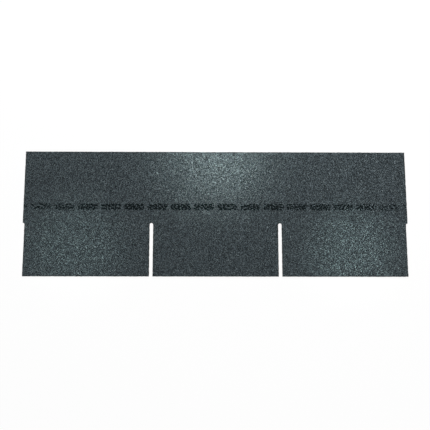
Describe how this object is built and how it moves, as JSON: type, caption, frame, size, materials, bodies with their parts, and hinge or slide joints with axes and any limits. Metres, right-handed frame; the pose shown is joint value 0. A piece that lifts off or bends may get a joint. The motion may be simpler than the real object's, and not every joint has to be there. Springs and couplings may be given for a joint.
{
  "type": "three-tab asphalt shingle strip",
  "caption": "Flat granule-faced asphalt roofing strip with tabs parted by round-ended cut-outs and a row of dark self-seal dashes above them.",
  "frame": {"origin": "on the underside, at the middle of the strip's length and height", "axes": "+X along the strip, +Y from the butt edge of the tabs to the head edge, +Z out of the granule face"},
  "size_m": [1, 0.333, 0.0035],
  "materials": {
    "granule_face": "matte",
    "seal_bitumen": "satin"
  },
  "bodies": {
    "root": {"shingle_strip": "granule_face", "seal_dashes": "seal_bitumen"}
  },
  "joints": []
}
